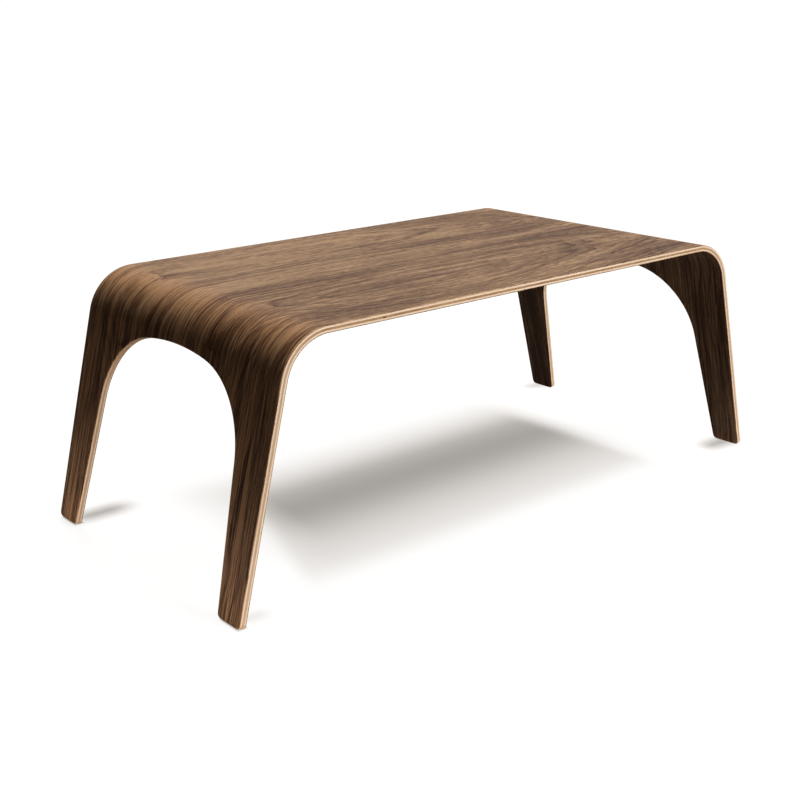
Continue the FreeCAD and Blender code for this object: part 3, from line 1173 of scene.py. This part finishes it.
class TrayTable:
    """The moulded sheet: two walnut leaves on each face and three birch plies between them."""

    LEAF_COLUMNS = 36
    CORE_COLUMNS = 10

    def __init__(self, sizes: SheetSizes) -> None:
        """Keeps the sizes and builds the finishes."""
        self.sizes = sizes
        self.maker = PlyMaker(sizes)
        self.finishes = Finishes()

    def leaves(self) -> list[Ply]:
        """The four walnut leaves: those of the face, then those of the back.

        Returns:
            The leaves, front before rear.
        """
        s = self.sizes
        plies = []
        for face, top in (("face", 0.0), ("back", s.thickness - s.face_veneer)):
            for strip in (Strip.FRONT, Strip.REAR):
                node = f"walnut_{face}_leaf_{strip.name.lower()}"
                plies.append(
                    Ply(
                        name=f"{node}_veneer",
                        node=node,
                        slot=f"walnut_{face}",
                        top=top,
                        bottom=top + s.face_veneer,
                        strip=strip,
                        grain=Grain.ALONG,
                        columns=self.LEAF_COLUMNS,
                        sheet=s,
                        foot_lift=s.veneer_foot_lift,
                    )
                )
        return plies

    def cores(self) -> list[Ply]:
        """The three birch plies, the middle one with its grain across.

        Returns:
            The plies from the top down.
        """
        s = self.sizes
        order = (
            ("birch_long_grain_ply_upper", "birch_long_grain", Grain.ALONG),
            ("birch_cross_grain_ply", "birch_cross_grain", Grain.ACROSS),
            ("birch_long_grain_ply_lower", "birch_long_grain", Grain.ALONG),
        )
        plies = []
        for level, (node, slot, grain) in enumerate(order):
            top = s.face_veneer + level * s.core_ply
            plies.append(
                Ply(
                    name=f"{node}_edge",
                    node=node,
                    slot=slot,
                    top=top,
                    bottom=top + s.core_ply,
                    strip=Strip.WHOLE,
                    grain=grain,
                    columns=self.CORE_COLUMNS,
                    sheet=s,
                )
            )
        return plies

    def build(self) -> None:
        """Makes every ply and gives it its finish."""
        walnut = {
            "walnut_face": self.finishes.walnut_face(),
            "walnut_back": self.finishes.walnut_back(),
        }
        for ply in self.leaves():
            self.maker.build(ply).data.materials.append(walnut[ply.slot])
        for ply in self.cores():
            self.maker.build(ply).data.materials.append(self.finishes.birch_ply(ply))


@dataclass(frozen=True)
class Softbox:
    """A rectangular area lamp aimed at a point, with its power worked out from its level there.

    A level of 1 shows a facing surface in the colour that it is written in.
    """

    name: str
    place: tuple[float, float, float]
    aim: tuple[float, float, float]
    width: float
    depth: float
    level: float
    mirrored: bool = True

    def build(self) -> None:
        """Adds the lamp, facing its aim."""
        way = Vector(self.aim) - Vector(self.place)
        lamp = bpy.data.lights.new(self.name, "AREA")
        lamp.shape = "RECTANGLE"
        lamp.size = self.width
        lamp.size_y = self.depth
        lamp.energy = self.level * math.pi**2 * way.length_squared
        holder = bpy.data.objects.new(self.name, lamp)
        turn = way.to_track_quat("-Z", "Y").to_matrix().to_4x4()
        holder.matrix_world = Matrix.Translation(self.place) @ turn
        holder.visible_glossy = self.mirrored
        bpy.context.scene.collection.objects.link(holder)


@dataclass(frozen=True)
class Shade:
    """A painted shadow: a soft-edged patch where the floor's white glow is held back.

    The patch is a rectangle whose left side may lean, by a share of the distance towards the rear.
    """

    middle: tuple[float, float]
    half: tuple[float, float]
    edges: tuple[float, float]
    drop: float
    lean: float = 0.0

    def level(self, board: Board, x: Source, y: Source) -> bpy.types.NodeSocket:
        """Change of the glow over the floor.

        Args:
            board: board of the floor's material.
            x: place on the floor to the right.
            y: place on the floor to the rear.

        Returns:
            Zero outside the patch, minus the drop inside it.
        """
        off_x = board.math("SUBTRACT", x, self.middle[0])
        off_y = board.math("SUBTRACT", y, self.middle[1])
        slip = board.product(off_y, self.lean / 2)
        away = (board.total(board.off(off_x, slip), slip), board.math("ABSOLUTE", off_y))
        within = [
            board.span(distance, half - edge, half + edge, 1.0, 0.0)
            for distance, half, edge in zip(away, self.half, self.edges)
        ]
        return board.product(*within, -self.drop)


class Studio:
    """Plain white studio: floor, surroundings, lamps and the camera at the photograph's view."""

    FLOOR_SIDE = 120.0
    FLOOR_COLOUR = (0.14, 0.12, 0.10, 1.0)
    SHADE_COLOUR = (1.0, 0.95, 0.89, 1.0)
    GLOW_AROUND = 0.95
    FAR_GLOW = Ramp(0.5, 1.6)
    BEYOND_FEET = Ramp(0.29, 0.33)
    GLOW_MIRRORED = Ramp(0.35, 1.1, 0.08, 0.0)
    GLOW_BOUNCED = Ramp(0.36, 0.50, 1.30, 0.0)
    BOUNCE_IN_FRONT = (1.0, 0.83, 0.70, 1.0)
    BOUNCE_COLOUR = (1.0, 0.70, 0.48, 1.0)
    BOUNCE_CHANGE = Ramp(-0.24, -0.14)
    DIM_SIDE = (0.025, 0.018, 0.012, 1.0)
    BRIGHT_SIDE = (0.32, 0.32, 0.32, 1.0)
    TO_RIGHT = Ramp(-0.1, 0.65)
    TO_REAR = Ramp(0.1, 0.8)
    REAR_FROM_LEFT = Ramp(-0.05, 0.3)
    # Painted shadows: three patches under the table, a smear beside each foot and a thin contact shadow
    # under each left foot.
    SHADES = (
        Shade((0.006, -0.020), (0.194, 0.096), (0.012, 0.026), drop=0.14, lean=0.36),
        Shade((0.004, 0.012), (0.206, 0.112), (0.032, 0.034), drop=0.15),
        Shade((0.020, 0.020), (0.186, 0.054), (0.026, 0.054), drop=0.35, lean=0.10),
        Shade((-0.278, 0.131), (0.026, 0.010), (0.018, 0.014), drop=0.58),
        Shade((0.297, 0.138), (0.012, 0.008), (0.010, 0.009), drop=0.26),
        Shade((0.292, -0.130), (0.018, 0.010), (0.013, 0.012), drop=0.55),
        Shade((-0.288, -0.133), (0.012, 0.007), (0.010, 0.008), drop=0.16),
        Shade((-0.3050, 0.1322), (0.0043, 0.0128), (0.0014, 0.0026), drop=0.50),
        Shade((-0.3050, -0.1322), (0.0043, 0.0128), (0.0014, 0.0026), drop=0.50),
    )
    CAMERA_PLACE = (-0.7597, -0.8774, 0.4555)
    CAMERA_YAW = math.radians(40.220)
    CAMERA_PITCH = math.radians(19.011)
    CAMERA_ROLL = math.radians(-0.558)
    FOCAL_PIXELS = 1276.6
    AXIS_PIXEL = (408.8, 423.7)
    CLIP_START = 0.01
    SOFTBOXES = (
        Softbox(
            name="key_softbox",
            place=(0.52, -1.25, 2.05),
            aim=(0.0, 0.0, 0.2),
            width=0.5,
            depth=1.1,
            level=0.55,
        ),
        Softbox(
            name="front_softbox",
            place=(0.10, -2.4, 0.42),
            aim=(-0.1, 0.0, 0.12),
            width=1.0,
            depth=0.5,
            level=0.54,
            mirrored=False,
        ),
        Softbox(
            name="rear_softbox",
            place=(0.40, 1.30, 1.6),
            aim=(0.0, 0.0, 0.2),
            width=0.5,
            depth=0.9,
            level=0.64,
            mirrored=False,
        ),
    )

    def build(self) -> None:
        """Sets up the whole studio."""
        self._floor()
        self._surroundings()
        for softbox in self.SOFTBOXES:
            softbox.build()
        self._camera()

    def _floor(self) -> None:
        """A pale floor that the camera sees as white, with a faint cast shadow and painted shadows."""
        half = self.FLOOR_SIDE / 2
        corners = [(-half, -half, 0.0), (half, -half, 0.0), (half, half, 0.0), (-half, half, 0.0)]
        mesh = bpy.data.meshes.new("studio_floor")
        mesh.from_pydata(corners, [], [(0, 1, 2, 3)])
        mesh.materials.append(self._floor_finish())
        floor = bpy.data.objects.new("studio_floor", mesh)
        bpy.context.scene.collection.objects.link(floor)

    def _floor_finish(self) -> bpy.types.Material:
        """Matt paper with a glow for each kind of ray.

        To the camera it glows white, less in the shades, which are painted shadows. To the object it glows
        only
        beyond the feet: faintly in a mirroring surface, and warmly as light bounced onto the wood.

        Returns:
            The material.
        """
        material, board = blank_material("pale_floor")
        path = board.put("ShaderNodeLightPath").outputs
        place = board.put("ShaderNodeTexCoord").outputs["Object"]
        x, y, _ = board.split(place)
        reach = board.vector("LENGTH", place).outputs["Value"]
        # the glow held back in the painted shadows
        near = board.total(self.GLOW_AROUND, *(shade.level(board, x, y) for shade in self.SHADES))
        to_camera = board.math("MAXIMUM", near, board.ramp(reach, self.FAR_GLOW))
        outside = board.ramp(board.math("ABSOLUTE", x), self.BEYOND_FEET)
        mirrored = board.math("MAXIMUM", path["Is Glossy Ray"], path["Is Transmission Ray"])
        strength = board.total(
            board.product(path["Is Camera Ray"], to_camera),
            board.product(mirrored, outside, board.ramp(reach, self.GLOW_MIRRORED)),
            board.product(path["Is Diffuse Ray"], outside, board.ramp(reach, self.GLOW_BOUNCED)),
        )
        bounce = board.mix(board.ramp(y, self.BOUNCE_CHANGE), self.BOUNCE_IN_FRONT, self.BOUNCE_COLOUR)
        # painted shadows take a warm tint
        tint = board.mix(to_camera, self.SHADE_COLOUR, WHITE)
        tint = board.mix(path["Is Diffuse Ray"], tint, bounce)
        paper = board.put("ShaderNodeBsdfDiffuse", {"Color": self.FLOOR_COLOUR})
        glow = board.put("ShaderNodeEmission", {"Color": tint, "Strength": strength})
        both = board.put("ShaderNodeAddShader", {0: paper.outputs[0], 1: glow.outputs[0]})
        board.put("ShaderNodeOutputMaterial", {"Surface": both.outputs[0]})
        return material

    def _surroundings(self) -> None:
        """White to the camera. To the object, dim on the left and brighter on the right and behind."""
        world = bpy.data.worlds.new("white_studio")
        world.use_nodes = True
        world.node_tree.nodes.clear()
        board = Board(world.node_tree)
        path = board.put("ShaderNodeLightPath").outputs
        x, y, _ = board.split(board.put("ShaderNodeTexCoord").outputs["Generated"])
        behind = board.product(board.ramp(y, self.TO_REAR), board.ramp(x, self.REAR_FROM_LEFT))
        bright = board.math("MAXIMUM", board.ramp(x, self.TO_RIGHT), behind)
        level = board.mix(bright, self.DIM_SIDE, self.BRIGHT_SIDE)
        seen = board.mix(path["Is Camera Ray"], level, WHITE)
        light = board.put("ShaderNodeBackground", {"Color": seen, "Strength": 1.0})
        board.put("ShaderNodeOutputWorld", {"Surface": light.outputs[0]})
        bpy.context.scene.world = world

    def _camera(self) -> None:
        """A camera at the photograph's place, turned by yaw, pitch and roll and shifted to its axis."""
        lens = bpy.data.cameras.new("photo_camera")
        lens.sensor_width = SENSOR_WIDTH
        lens.lens = self.FOCAL_PIXELS * SENSOR_WIDTH / IMAGE_SIDE
        lens.shift_x = (IMAGE_SIDE / 2 - self.AXIS_PIXEL[0]) / IMAGE_SIDE
        lens.shift_y = (self.AXIS_PIXEL[1] - IMAGE_SIDE / 2) / IMAGE_SIDE
        lens.clip_start = self.CLIP_START
        camera = bpy.data.objects.new("photo_camera", lens)
        yaw = Matrix.Rotation(-self.CAMERA_YAW, 4, "Z")
        pitch = Matrix.Rotation(math.pi / 2 - self.CAMERA_PITCH, 4, "X")
        roll = Matrix.Rotation(self.CAMERA_ROLL, 4, "Z")
        turn = yaw @ pitch @ roll
        camera.matrix_world = Matrix.Translation(self.CAMERA_PLACE) @ turn
        bpy.context.scene.collection.objects.link(camera)
        bpy.context.scene.camera = camera


def main() -> None:
    """Builds the table and the studio, with the sheet sized from the CAD box."""
    logging.basicConfig(level=logging.INFO, format="%(name)s: %(message)s")
    low, high = Vector(CAD_LOW), Vector(CAD_HIGH)
    sizes = SheetSizes(width=high.y - low.y, height=high.z - low.z)
    TrayTable(sizes).build()
    Studio().build()
    bpy.context.scene.view_settings.view_transform = "Standard"
    bpy.context.view_layer.update()


if __name__ == "__main__":
    main()
